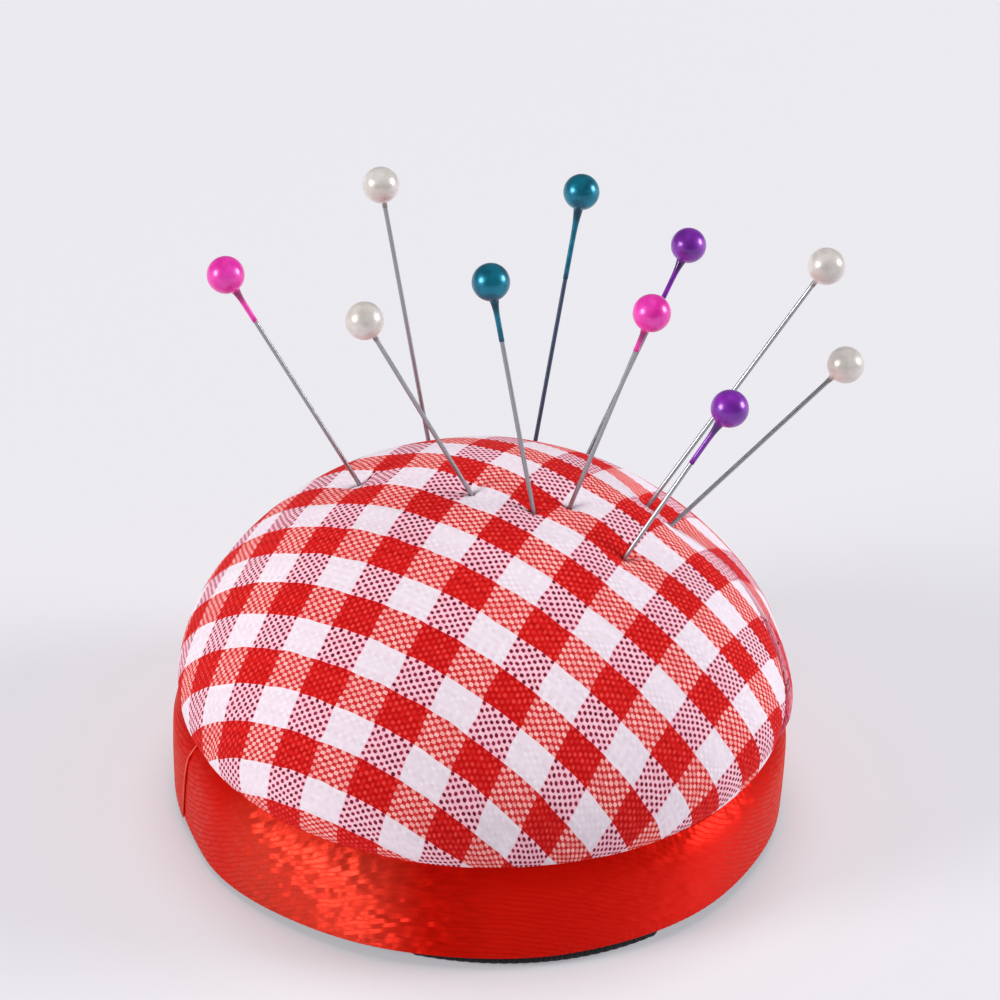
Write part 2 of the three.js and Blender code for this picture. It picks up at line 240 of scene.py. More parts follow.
WEAVE = "Weave"  # names of the maps that the patterns read
CREASE = "Crease"
BAKE_MAP = "OFBake"
BAKE_OUTER, BAKE_INNER = 0.72, 0.22  # shares of that map's side for the cloth's two faces
BAKE_EDGE, BAKE_SIDE = 0.01, 0.76  # where they start
BAKE_COLUMNS, BAKE_FILL = 30, 0.9  # cells of rim faces in a line, and how full


def rgb(*srgb):
    """Colour with alpha, from 0 to 255 as seen on a screen."""
    shares = [value / 255 for value in srgb]
    curve = [s / 12.92 if s <= 0.04045 else ((s + 0.055) / 1.055) ** 2.4 for s in shares]
    return (*curve, 1.0)


def smooth(share):
    """Smooth step from 0 to 1."""
    share = np.clip(share, 0, 1)
    return share * share * (3 - 2 * share)


def bell(share):
    """Bell curve, 1 at 0 and near 0 from 2 on."""
    return np.exp(-(share**2))


def unit(vectors):
    """Vectors of length 1 in the same directions."""
    return vectors / np.linalg.norm(vectors, axis=-1, keepdims=True).clip(1e-12)


class Finish:
    """A node material with short calls for its nodes."""

    def __init__(self, name, **values):
        self.material = bpy.data.materials.new(name)
        self.material.use_nodes = True
        self.tree = self.material.node_tree
        self.surface = self.tree.nodes["Principled BSDF"]
        for socket, value in values.items():
            self.set(socket.replace("_", " "), value)

    def put(self, socket, value):
        if isinstance(value, bpy.types.NodeSocket):
            self.tree.links.new(value, socket)
        else:
            socket.default_value = value

    def set(self, socket, value):
        self.put(self.surface.inputs[socket], value)

    def add(self, kind, inputs=None, output=0, **settings):
        node = self.tree.nodes.new("ShaderNode" + kind)
        for name, value in settings.items():
            setattr(node, name, value)
        for socket, value in (inputs or {}).items():
            self.put(node.inputs[socket], value)
        return node.outputs[output]

    def math(self, operation, *values):
        return self.add("Math", dict(enumerate(values)), operation=operation)

    def times(self, value, *others):
        for other in others:
            value = self.math("MULTIPLY", value, other)
        return value

    def plus(self, first, second):
        return self.math("ADD", first, second)

    def minus(self, first, second):
        return self.math("SUBTRACT", first, second)

    def mix(self, factor, first, second):
        return self.add("Mix", {0: factor, 6: first, 7: second}, output=2, data_type="RGBA")

    def between(self, value, low, high, to_low=0.0, to_high=1.0):
        inputs = {0: value, 1: low, 2: high, 3: to_low, 4: to_high}
        return self.add("MapRange", inputs, interpolation_type="SMOOTHSTEP")

    def uv(self, name):
        return self.add("UVMap", uv_map=name)

    def split(self, vector):
        return tuple(self.add("SeparateXYZ", {0: vector}).node.outputs)

    def noise(self, vector, scale, detail=2.0, output=0):
        return self.add("TexNoise", {"Vector": vector, "Scale": scale, "Detail": detail}, output=output)

    def chance(self, index):
        return self.add("TexWhiteNoise", {"W": index}, noise_dimensions="1D")

    def place(self):
        return self.add("TexCoord", output=3)

    def stretched(self, vector, scale):
        return self.add("Mapping", {"Vector": vector, "Scale": scale})

    def bump(self, height, strength, distance):
        inputs = {"Height": height, "Strength": strength, "Distance": distance}
        self.set("Normal", self.add("Bump", inputs))


def cell(finish, value, cells):
    """Index of the cell that a value is in, and the place in it from -0.5 to 0.5."""
    scaled = finish.times(value, cells)
    index = finish.math("FLOOR", scaled)
    return index, finish.minus(finish.minus(scaled, index), 0.5)


def oval(finish, x, y, half_x, half_y, power=2.4):
    """0 at the middle of an oval and 1 on its edge."""
    parts = []
    for place, half in ((x, half_x), (y, half_y)):
        share = finish.math("DIVIDE", finish.math("ABSOLUTE", place), half)
        parts.append(finish.math("POWER", share, power))
    return finish.plus(*parts)


def gingham_cotton():
    """Plain weave of red and white bands: the row yarns cover, the column yarns show between as dots."""
    f = Finish("gingham_cotton", Roughness=0.95, Sheen_Weight=0.02, Sheen_Roughness=0.5)
    f.set("Specular IOR Level", 0.1)
    cloth = f.uv(WEAVE)
    waver = f.noise(cloth, 1.6, 1.0, output=1)
    shift = f.add("VectorMath", {0: waver, 1: (0.5, 0.5, 0.5)}, operation="SUBTRACT")
    small = f.add("VectorMath", {0: shift, "Scale": 0.12}, operation="SCALE")
    u, v, _ = f.split(f.add("VectorMath", {0: cloth, 1: small}, operation="ADD"))
    column, x = cell(f, u, THREADS_ALONG)
    row, y = cell(f, v, THREADS_ACROSS)

    def red(index, threads):
        band = f.math("FLOOR", f.math("DIVIDE", f.plus(index, 0.5), threads))
        return f.math("LESS_THAN", f.math("FLOORED_MODULO", band, 2.0), 0.5)

    column_red = red(column, THREADS_ALONG)
    row_red = red(row, THREADS_ACROSS)
    under = f.math("FLOORED_MODULO", f.plus(column, row), 2.0)
    both_red = f.times(column_red, row_red)
    wide = f.between(column_red, 0.0, 1.0, PALE_DOT_HALF[0], DARK_DOT_HALF[0])
    high = f.between(column_red, 0.0, 1.0, PALE_DOT_HALF[1], DARK_DOT_HALF[1])
    half_x = f.minus(wide, f.times(both_red, RED_DOT_SLIMMER))
    half_y = f.plus(high, f.times(both_red, RED_DOT_LONGER))
    edge = oval(f, x, y, half_x, half_y)
    dot = f.times(f.between(edge, 1.25, 0.75), f.minus(1.0, under))

    knot_place = f.add("CombineXYZ", {0: column, 1: row})
    knot_shade = f.add("TexWhiteNoise", {"Vector": knot_place}, noise_dimensions="2D")
    row_shade = f.chance(row)
    white = f.mix(row_shade, rgb(226, 209, 219), rgb(238, 224, 233))
    blush = f.mix(row_shade, rgb(240, 180, 195), rgb(248, 198, 211))
    rose = f.mix(row_shade, rgb(198, 36, 40), rgb(216, 58, 60))
    crimson = f.mix(row_shade, rgb(184, 8, 10), rgb(208, 20, 18))
    ground = f.mix(row_red, f.mix(column_red, white, blush), f.mix(column_red, rose, crimson))
    dark_dot = f.mix(knot_shade, rgb(112, 16, 42), rgb(158, 38, 68))
    red_dot = f.mix(knot_shade, rgb(208, 30, 30), rgb(230, 66, 62))
    pale_dot = f.mix(knot_shade, rgb(236, 144, 140), rgb(248, 184, 180))
    white_dot = f.mix(knot_shade, rgb(230, 214, 224), rgb(240, 228, 236))
    over_red = f.mix(column_red, pale_dot, red_dot)
    over_white = f.mix(column_red, white_dot, dark_dot)
    weave = f.mix(dot, ground, f.mix(row_red, over_white, over_red))
    past, level, _ = f.split(f.uv(CREASE))
    # Millimetres past the pleat's edge: painted shade, dark crimson, in its groove, and the frayed layer
    # beyond, mottled crimson to pink, partly yarn colour and partly painted shade on the far slope
    deep = f.times(f.between(past, -0.1, 0.15), f.between(past, 1.8, 0.5))
    # Painted shade mixed with frayed yarn colour: the far slope past the groove is painted mottled crimson to
    # pink
    frayed_and_shaded = f.times(f.between(past, 0.0, 0.5), f.between(past, 5.0, 3.0))
    yarn = f.between(f.noise(cloth, 9.0, 3.0), 0.42, 0.6)
    tone = f.mix(yarn, rgb(156, 8, 36), rgb(236, 112, 136))
    layer = f.times(frayed_and_shaded, level, 0.9)
    # Painted shade: the pleat's groove is painted dark crimson, also higher up than the groove is deep
    groove_shade = f.times(deep, f.math("POWER", level, 0.5), 0.9)
    f.set("Base Color", f.mix(groove_shade, f.mix(layer, weave, tone), rgb(158, 6, 30)))

    rib = f.minus(1.0, f.math("POWER", f.math("ABSOLUTE", f.times(y, 2.0)), 2.0))
    knot = f.minus(1.6, edge)
    height = f.add("Mix", {0: dot, 2: f.times(rib, 0.7), 3: knot}, data_type="FLOAT")
    f.bump(height, 0.1, 0.12 * MM)
    return f.material


def red_satin():
    """Warp satin: floats in staggered rows that lie like shingles and shine in an upright streak."""
    f = Finish("red_satin", Metallic=0.4, Anisotropic=0.75, Anisotropic_Rotation=0.25, Specular_IOR_Level=0.2)
    f.set("Specular Tint", (1.0, 0.55, 0.3, 1.0))
    f.set("Tangent", f.add("Tangent", direction_type="RADIAL", axis="Z"))
    ribbon = f.uv(WEAVE)
    x, y, _ = f.split(ribbon)
    turn = f.times(f.minus(x, SATIN_LOW), 2 / (RIBBON_RADIUS / MM))
    sway = f.plus(y, f.times(f.math("COSINE", turn), -SATIN_SWAY))
    waver = f.noise(f.stretched(ribbon, (0.4, 0.8, 1.0)), 1.0, 1.0)
    level = f.plus(sway, f.times(waver, SATIN_WAVER))
    row, across = cell(f, level, 1 / SATIN_ROW)
    own_place = f.times(row, SATIN_APART)
    place = f.add("CombineXYZ", {0: f.math("DIVIDE", x, SATIN_LIE), 1: own_place})
    lie = f.noise(place, 1.0, 1.0)
    streak = f.noise(f.stretched(ribbon, (0.25, 5.0, 1.0)), 1.0, 3.0)

    def until(end):
        return f.between(x, end + SATIN_ROUGH_BLEND, end - SATIN_ROUGH_BLEND)

    begun = f.minus(1.0, until(SATIN_ROUGH_START))
    plain_red = f.mix(streak, rgb(209, 8, 1), rgb(221, 16, 3))
    # Painted highlight: a paler coral is painted into the floats where the left highlight falls
    shade = f.mix(f.times(begun, until(SATIN_PAINTED_HIGHLIGHT_END)), plain_red, rgb(224, 54, 38))
    f.set("Roughness", f.between(f.math("ABSOLUTE", across), 0.2, 0.5, 0.38, 0.58))
    cut = f.between(x, RIBBON_LENGTH - 0.2, RIBBON_LENGTH - 0.05)
    f.set("Base Color", f.mix(f.times(cut, 0.5), shade, rgb(250, 136, 120)))
    _, along = cell(f, f.plus(x, f.times(row, SATIN_STAGGER)), 1 / SATIN_FLOAT)
    higher = f.math("DIVIDE", f.minus(y, SATIN_MIDDLE), SATIN_MIDDLE)
    lean = f.times(f.math("SINE", turn), higher, SATIN_LEAN)
    tilt = f.minus(f.times(lean, along), across)
    uneven = f.between(f.times(begun, until(SATIN_ROUGH_END)), 0.0, 1.0, SATIN_CALM, 1.0)
    relief = f.plus(f.times(lie, SATIN_STIR), tilt)
    f.bump(f.times(relief, uneven), 1.0, SATIN_LIFT)
    return f.material


def black_elastic():
    """Knitted elastic: fine chevrons over the ribs that run along the strap."""
    f = Finish("black_elastic", Roughness=0.85, Sheen_Weight=0.05, Specular_IOR_Level=0.2)
    x, y, _ = f.split(f.uv(WEAVE))
    rib, across = cell(f, x, 1.9)
    slant = f.plus(f.times(y, 1.6), f.math("ABSOLUTE", f.times(across, 1.6)))
    wave = f.math("SINE", f.times(slant, 2 * pi))
    shade = f.chance(rib)
    tone = f.mix(shade, rgb(20, 19, 22), rgb(34, 33, 37))
    f.set("Base Color", f.mix(f.between(wave, -1.0, 1.0), rgb(13, 12, 15), tone))
    f.bump(wave, 0.4, 0.1 * MM)
    return f.material


def black_plastic():
    """Moulded plastic with a fine spark-eroded grain."""
    f = Finish("black_plastic")
    place = f.place()
    grain = f.noise(place, 2600, 3.0)
    cloud = f.noise(place, 120, 2.0)
    f.set("Base Color", f.mix(cloud, rgb(20, 20, 23), rgb(33, 32, 36)))
    f.set("Roughness", f.between(grain, 0.3, 0.7, 0.45, 0.62))
    f.bump(grain, 0.25, 0.06 * MM)
    return f.material


def card():
    """Grey-brown card with short fibres pressed into it."""
    f = Finish("card", Roughness=0.95)
    place = f.place()
    fibre = f.noise(f.stretched(place, (900, 260, 260)), 1.0, 4.0)
    cloud = f.noise(place, 180, 2.0)
    tone = f.mix(cloud, rgb(140, 114, 82), rgb(166, 140, 104))
    f.set("Base Color", f.mix(f.between(fibre, 0.4, 0.7), tone, rgb(112, 88, 60)))
    f.bump(fibre, 0.3, 0.08 * MM)
    return f.material


def red_thread():
    f = Finish("red_thread", Roughness=0.7, Sheen_Weight=0.3)
    lay = f.add("TexWave", {"Vector": f.uv(WEAVE), "Scale": 6.0, "Distortion": 1.5}, output=1)
    f.set("Base Color", f.mix(lay, rgb(128, 12, 20), rgb(190, 30, 34)))
    f.bump(lay, 0.4, 0.05 * MM)
    return f.material


def frayed_yarn():
    """Yarn ends, each in its own shade from crimson to pink."""
    f = Finish("frayed_yarn", Roughness=0.9, Sheen_Weight=0.3)
    place, _, _ = f.split(f.uv(WEAVE))
    shade = f.chance(f.math("FLOOR", place))
    f.set("Base Color", f.mix(shade, rgb(110, 8, 36), rgb(238, 150, 168)))
    return f.material


def fibre_stuffing():
    f = Finish("fibre_stuffing", Roughness=1.0, Sheen_Weight=0.5)
    place = f.place()
    strand = f.noise(f.stretched(place, (300, 300, 1400)), 1.0, 5.0)
    f.set("Base Color", f.mix(strand, rgb(222, 215, 203), rgb(247, 244, 238)))
    f.bump(strand, 0.7, 0.4 * MM)
    return f.material


def steel_wire(name, dark, light):
    """Drawn wire: fine lines along its length."""
    f = Finish(name, Metallic=1.0)
    line = f.noise(f.stretched(f.uv(WEAVE), (9.0, 0.15, 1.0)), 1.0, 3.0)
    f.set("Base Color", f.mix(line, dark, light))
    f.set("Roughness", f.between(line, 0.3, 0.7, 0.2, 0.36))
    f.bump(line, 0.08, 0.02 * MM)
    return f.material


def lacquer(name, dark, light, metallic, coat):
    """Lacquered bead: a slightly clouded colour under a clear coat, darker at the neck."""
    f = Finish(name, Metallic=metallic, Coat_Weight=coat, Coat_Roughness=0.14)
    place = f.place()
    cloud = f.noise(place, 700, 3.0)
    _, height, _ = f.split(f.uv(WEAVE))
    deep = (*(0.4 * value for value in dark[:3]), 1.0)
    shade = f.mix(f.between(cloud, 0.3, 0.7), dark, light)
    neck = f.times(f.between(height, -1.75, -2.2), f.between(height, -3.8, -2.5))
    f.set("Base Color", f.mix(neck, shade, deep))
    f.set("Roughness", f.between(cloud, 0.3, 0.7, 0.3, 0.38))
    return f.material


def floor_paper():
    """Pale paper, lifted towards white where the camera, metal and lacquer see it."""
    f = Finish("floor_paper", Roughness=0.9, Specular_IOR_Level=0.2)
    cloud = f.noise(f.place(), 3.0, 2.0)
    f.set("Base Color", f.mix(cloud, rgb(225, 225, 228), rgb(228, 228, 231)))
    path = f.add("LightPath").node.outputs
    mirrored = f.math("MAXIMUM", path["Is Glossy Ray"], path["Is Transmission Ray"])
    seen = f.math("MAXIMUM", path["Is Camera Ray"], mirrored)
    glow = f.add("Emission", {"Color": rgb(236, 233, 240), "Strength": 1.0})
    lifted = f.add("MixShader", {0: f.times(seen, FLOOR_LIFT), 1: f.surface.outputs[0], 2: glow})
    f.put(f.tree.nodes["Material Output"].inputs["Surface"], lifted)
    return f.material


def mesh_object(name, vertices, faces, material, maps=None):
    """Smooth-shaded mesh. Each map gives a UV per vertex, or per face corner where its length says so."""
    mesh = bpy.data.meshes.new(name)
    mesh.from_pydata([tuple(v) for v in vertices], [], [tuple(f) for f in faces])
    mesh.polygons.foreach_set("use_smooth", np.ones(len(mesh.polygons), bool))
    corners = np.empty(len(mesh.loops), int)
    mesh.loops.foreach_get("vertex_index", corners)
    for map_name, values in (maps or {}).items():
        layer = mesh.uv_layers.new(name=map_name)
        values = np.asarray(values, np.float32)
        if len(values) != len(corners):
            values = values[corners]
        layer.uv.foreach_set("vector", values.ravel())
    mesh.materials.append(material)
    mesh.validate()
    mesh.update()
    piece = bpy.data.objects.new(name, mesh)
    bpy.context.scene.collection.objects.link(piece)
    return piece


def grid_faces(rows, columns, close_rows=False, close_columns=False, offset=0):
    """Quads of a grid of points stored row by row."""
    faces = []
    for i in range(rows - (not close_rows)):
        for j in range(columns - (not close_columns)):
            a, b = i * columns, (i + 1) % rows * columns
            k = (j + 1) % columns
            faces.append((offset + a + j, offset + a + k, offset + b + k, offset + b + j))
    return faces


def pin_lines():
    """Each pin's point, direction, length to the ball's middle and collar's length, by its body."""
    lines = {}
    axes = {joint["name"]: joint["axis"] for joint in frame["joints"]}
    for body in frame["bodies"]:
        if f"{body}_shaft" not in frame["nodes"]:
            continue
        axis = unit(np.array(axes[f"{body}_slide"], float))
        shaft = np.array([v.co for v in frame["nodes"][f"{body}_shaft"].data.vertices])
        head = np.array([v.co for v in frame["nodes"][f"{body}_head"].data.vertices])
        along = shaft @ axis
        point = shaft[along.argmin()]
        length = along.max() - along.min()
        collar = length - BALL_RADIUS - ((head @ axis).min() - along.min())
        lines[body] = (point, axis, length, collar)
    return lines


def cushion_outline():
    """Distance along the cloth from the crown, radius and height, down to the hem under the base."""
    turn = np.linspace(pi / 2, 0, 400)
    power = 2 / CROWN_EXPONENT
    radius = CUSHION_RADIUS * np.cos(turn).clip(0) ** power
    radius[0] = 0
    rounded = np.sqrt(radius**2 + CROWN_ROUNDING**2 * (1 - radius / CUSHION_RADIUS))
    share = 1 - (rounded / CUSHION_RADIUS).clip(0, 1) ** CROWN_EXPONENT
    crown = share ** (1 / CROWN_EXPONENT)
    height = WIDEST_HEIGHT + (CROWN_HEIGHT - WIDEST_HEIGHT) * crown / crown[0]
    waist = COVER_BOTTOM + CORNER_RADIUS
    drop = np.linspace(0, 1, 40)[1:]
    side = (CUSHION_RADIUS - DRAW_IN * drop**2, WIDEST_HEIGHT + (waist - WIDEST_HEIGHT) * drop)
    middle = CUSHION_RADIUS - DRAW_IN - CORNER_RADIUS
    corner = np.linspace(0, pi / 2, 40)[1:]
    bend = (middle + CORNER_RADIUS * np.cos(corner), waist - CORNER_RADIUS * np.sin(corner))
    under = np.linspace(middle, HEM_RADIUS, 40)[1:]
    radius = np.concatenate([radius, side[0], bend[0], under])
    height = np.concatenate([height, side[1], bend[1], np.full(under.shape, COVER_BOTTOM)])
    above = height - RIBBON_TOP
    full = smooth((above - OVERHANG_START) / OVERHANG_RISE)
    full *= 1 - smooth((above - OVERHANG_END) / OVERHANG_FALL)
    radius = radius + OVERHANG * full * (radius > middle)
    steps = np.hypot(np.diff(radius), np.diff(height))
    return np.concatenate([[0], np.cumsum(steps)]), radius, height


def disc_grid(cells):
    """Square grid wrapped onto a disc: distance from the middle, 0 to 1, and direction in radians."""
    side = np.linspace(-1, 1, cells + 1)
    x, y = np.meshgrid(side, side, indexing="ij")
    wide = np.abs(x) > np.abs(y)
    safe_x = np.where(x == 0, 1, x)
    safe_y = np.where(y == 0, 1, y)
    reach = np.where(wide, x, y)
    turn = np.where(wide, pi / 4 * y / safe_x, pi / 2 - pi / 4 * x / safe_y)
    return np.abs(reach), np.arctan2(reach * np.sin(turn), reach * np.cos(turn))


def dome_points(distance, direction, outline):
    """Points of the cloth at distances from the crown."""
    arc, radius, height = outline
    r, z = np.interp(distance, arc, radius), np.interp(distance, arc, height)
    return np.stack([r * np.cos(direction), r * np.sin(direction), z], -1)


def grid_normals(points):
    """Outward normals of a grid of points."""
    across = unit(np.cross(np.gradient(points, axis=0), np.gradient(points, axis=1)))
    middle = np.array([0, 0, WIDEST_HEIGHT])
    sign = np.sign(np.sum(across * (points - middle), axis=-1, keepdims=True))
    return across * np.where(sign == 0, 1, sign)


def refine(values):
    """Grid values at half the spacing, smoothed as by a cubic spline."""
    for axis in (0, 1):
        v = np.moveaxis(values, axis, 0)
        fine = np.empty((2 * len(v) - 1, *v.shape[1:]))
        fine[::2] = v
        fine[2:-1:2] = (v[:-2] + 6 * v[1:-1] + v[2:]) / 8
        fine[1::2] = (v[:-1] + v[1:]) / 2
        values = np.moveaxis(fine, 0, axis)
    return values


def swelling(start, held):
    """How far pressure from the stuffing moves each point of the cloth, simulated on a larger copy."""
    count = len(start)
    points = start.reshape(-1, 3) * SWELL_SCALE
    cloth = mesh_object("swell", points, [face[::-1] for face in grid_faces(count, count)], FIBRE)
    scene = bpy.context.scene
    group = cloth.vertex_groups.new(name="held")
    group.add(np.flatnonzero(held).tolist(), 1.0, "REPLACE")
    modifier = cloth.modifiers.new("swell", "CLOTH")
    settings = modifier.settings
    settings.quality = 6
    settings.vertex_group_mass = "held"
    settings.use_pressure = True
    settings.uniform_pressure_force = SWELL_PRESSURE
    settings.effector_weights.gravity = 0
    settings.tension_stiffness = settings.compression_stiffness = 15
    settings.bending_stiffness = 2
    settings.shrink_min = -SWELL_SLACK
    modifier.point_cache.frame_end = SWELL_FRAMES
    for step in range(1, SWELL_FRAMES + 1):
        scene.frame_set(step)
    swollen = cloth.evaluated_get(bpy.context.evaluated_depsgraph_get()).data
    moved = np.array([v.co for v in swollen.vertices]) - points
    bpy.data.objects.remove(cloth)
    scene.frame_set(1)
    moved = moved.reshape(start.shape) / SWELL_SCALE
    far = np.linalg.norm(moved, axis=-1, keepdims=True).clip(1e-12)
    return moved * np.minimum(1, SWELL_CAP / far)


def fold(points):
    """The pleat at each point: degrees past its line, its share at that height and its radial shift."""
    azimuth = np.degrees(np.arctan2(points[..., 1], points[..., 0]))
    height = points[..., 2]
    past = azimuth - FOLD_AZIMUTH - FOLD_SLANT * (height - FOLD_HEIGHT) / MM
    above = (height - FOLD_HEIGHT).clip(0)
    free = smooth((height - RIBBON_TOP) / FOLD_START)
    level = free * bell(above / FOLD_REACH)
    share = past.clip(0) / FOLD_BULGE_ANGLE
    bulge = FOLD_BULGE * free * bell(above / FOLD_BULGE_REACH) * share * np.exp(1 - share)
    width = np.where(past < 0, FOLD_LIP_ANGLE, FOLD_GROOVE_ANGLE)
    groove = FOLD_GROOVE * level * bell(past / width)
    return past, level, bulge - groove


def slackness(points):
    """How far the cloth sits in where the cushion is stuffed less."""
    azimuth = np.degrees(np.arctan2(points[..., 1], points[..., 0]))
    away = (azimuth - SLACK_AZIMUTH + 180) % 360 - 180
    height = points[..., 2]
    level = smooth((height - RIBBON_TOP) / SLACK_RISE) * (1 - smooth((height - SLACK_TOP) / SLACK_FADE))
    return SLACK_DEPTH * level * bell(away / SLACK_HALF_ANGLE)


def check_places(distance, direction):
    """Place on the gingham, counted in checks along and across the rows, whose even checks are red."""
    flat = np.stack([np.cos(direction), np.sin(direction)], -1) * distance[..., None] / MM
    turn = np.radians([ROW_DIRECTION, COLUMN_DIRECTION])
    axes = np.stack([np.cos(turn), np.sin(turn)], -1)
    a, b = np.moveaxis(flat @ np.linalg.inv(axes), -1, 0)
    along = (a + COLUMN_BOW * b**2 + COLUMN_STRETCH * a * b**2) / (2 * CHECK_ALONG) + COLUMN_START
    across = (b + ROW_BOW * a**2 + ROW_STRETCH * b * a**2) / (2 * CHECK_ACROSS) + ROW_START
    return np.stack([2 * along + 0.5, 2 * across + 0.5], -1)


def off_wire(points, line):
    """Distance of the cloth's points from a pin's wire, and 1 below the upper part."""
    point, axis, _, _ = line
    off = np.linalg.norm(np.cross(points - point, axis), axis=-1)
    return np.where(points[..., 2] < WIDEST_HEIGHT, 1, off)


def pin_hole(points, normals, line):
    """Opens the grid round a pin's wire. Returns the grid place of the hole's middle."""
    point, axis, _, _ = line
    off = off_wire(points, line)
    i, j = np.unravel_index(off.argmin(), off.shape)
    normal = normals[i, j]
    middle = point + axis * ((points[i, j] - point) @ axis)
    middle = middle + axis * ((points[i, j] - middle) @ normal) / (axis @ normal)
    for di, dj in AROUND:
        out = points[i + di, j + dj] - middle
        out = PIN_HOLE_RADIUS * unit(out - (out @ axis) * axis)
        points[i + di, j + dj] = middle + out - axis * (out @ normal) / (axis @ normal)
        normals[i + di, j + dj] = axis / (axis @ normal)
    points[i, j] = middle
    return i, j


def gingham_cover(pins):
    """The outline swollen by the stuffing, with the pleat and a dimpled hole at each pin."""
    outline = cushion_outline()
    length = outline[0][-1]
    reach, direction = disc_grid(SWELL_CELLS)
    start = dome_points(reach * length, direction, outline)
    free = np.clip((start[..., 2] - ROOM_HEIGHT) / ROOM_RISE, 0, 1)
    shown = reach * length < np.interp(-WIDEST_HEIGHT, -outline[2], outline[0])
    room = SWELL_ROOM * np.where(shown, free, 0)
    start = start - grid_normals(start) * room[..., None]
    moved = np.zeros(start.shape)
    held = start[..., 2] < RIBBON_TOP + HELD_HEIGHT
    for line in pins.values():
        off = off_wire(start, line)
        held[np.unravel_index(off.argmin(), off.shape)] = True
    moved = swelling(start, held)
    cells = SWELL_CELLS
    for _ in range(REFINEMENTS):
        moved, room, cells = refine(moved), refine(room), 2 * cells
    reach, direction = disc_grid(cells)
    points = dome_points(reach * length, direction, outline)
    past, level, _ = fold(points)
    near = FOLD_GATHER * level * bell(past / FOLD_GATHER_ANGLE)
    direction = direction - np.radians(past * near)
    points = dome_points(reach * length, direction, outline)
    points += moved - grid_normals(points) * room[..., None]

    past, level, shift = fold(points)
    shift -= slackness(points)
    points += unit(points * [1, 1, 0]) * shift[..., None]
    normals = grid_normals(points)
    for line in pins.values():
        points -= normals * PIN_DIMPLE * bell(off_wire(points, line) / PIN_DIMPLE_RADIUS)[..., None]
    normals = grid_normals(points)
    drawn = 1 - np.exp(-past.clip(0) / FOLD_TUCK_ANGLE)
    tuck = FOLD_TUCK * level * drawn * bell(past / FOLD_TUCK_FADE)
    places = check_places(reach * length, direction + np.radians(tuck))
    creases = np.stack([np.radians(past) * CUSHION_RADIUS / MM, level], -1)
    holes = [pin_hole(points, normals, line) for line in pins.values()]
    return cloth_shell("gingham_cover", points, normals, places, creases, holes)


def cloth_shell(name, points, normals, places, creases, holes):
    """Closed shell of cloth from its outer face, open at the hem and at each hole."""
    count = len(points)
    inner = points - normals * CLOTH_THICKNESS
    outer_faces = [
        face for face in grid_faces(count, count)
        if not any(i * count + j in face for i, j in holes)
    ]
    total = count * count
    inner_faces = [tuple(total + k for k in reversed(face)) for face in outer_faces]
    last = count - 1
    hem = [(0, k) for k in range(last)] + [(k, last) for k in range(last)]
    hem += [(last, last - k) for k in range(last)] + [(last - k, 0) for k in range(last)]
    rims = [hem] + [[(i + a, j + b) for a, b in AROUND] for i, j in holes]
    rim_faces = []
    for rim in rims:
        ring = [i * count + j for i, j in rim]
        for a, b in zip(ring, ring[1:] + ring[:1]):
            rim_faces.append((b, a, total + a, total + b))
    faces = outer_faces + inner_faces + rim_faces
    vertices = np.concatenate([points.reshape(-1, 3), inner.reshape(-1, 3)])
    grid = np.stack(np.meshgrid(*[np.linspace(0, 1, count)] * 2, indexing="ij"), -1).reshape(-1, 2)
    flat = np.concatenate([grid * BAKE_OUTER + BAKE_EDGE, grid * BAKE_INNER + BAKE_SIDE])
    corner_map = [flat[k] for face in outer_faces + inner_faces for k in face]
    cell_size = BAKE_INNER / BAKE_COLUMNS
    for index in range(len(rim_faces)):
        line, column = divmod(index, BAKE_COLUMNS)
        place = np.array([BAKE_SIDE + column * cell_size, BAKE_EDGE + line * cell_size])
        corner_map += [place + cell_size * BAKE_FILL * np.array(c) for c in ((0, 0), (1, 0), (1, 1), (0, 1))]
    weave, groove_shade = (np.tile(values.reshape(-1, 2), (2, 1)) for values in (places, creases))
    maps = {WEAVE: weave, CREASE: groove_shade, BAKE_MAP: corner_map}
    piece = mesh_object(name, vertices, faces, gingham_cotton(), maps)
    face_out(piece)
    return piece


